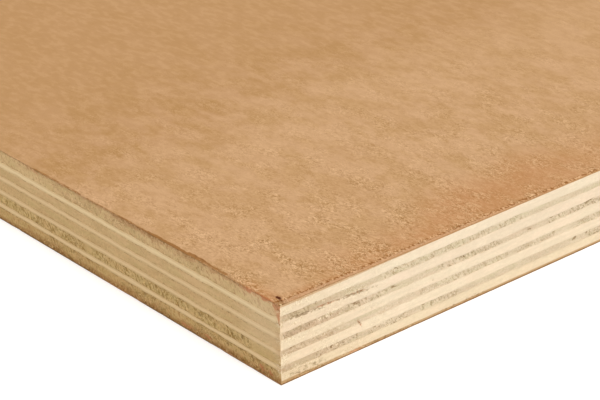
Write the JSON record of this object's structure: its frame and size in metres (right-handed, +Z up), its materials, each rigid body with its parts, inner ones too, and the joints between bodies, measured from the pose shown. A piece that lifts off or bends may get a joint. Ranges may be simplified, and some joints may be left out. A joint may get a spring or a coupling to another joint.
{
  "type": "plywood sheet",
  "caption": "Flat rectangular plywood sheet: a cross-banded core of pale plies between thin red-brown outer veneers, with edges sawn square.",
  "frame": {"origin": "middle of the underside, on the floor that the sheet lies on", "axes": "+X along the sheet's length and the face grain, +Y across its width, +Z up out of the good face"},
  "size_m": [2.44, 1.22, 0.018],
  "materials": {
    "face_veneer": "sanded, matt",
    "cross_ply": "sawn edge, matt",
    "long_ply": "sawn edge, matt",
    "back_veneer": "sanded, matt"
  },
  "bodies": {
    "root": {"face_veneer": "face_veneer", "cross_ply_1": "cross_ply", "long_ply_1": "long_ply", "cross_ply_2": "cross_ply", "long_ply_2": "long_ply", "cross_ply_3": "cross_ply", "long_ply_3": "long_ply", "cross_ply_4": "cross_ply", "long_ply_4": "long_ply", "cross_ply_5": "cross_ply", "back_veneer": "back_veneer"}
  },
  "joints": []
}
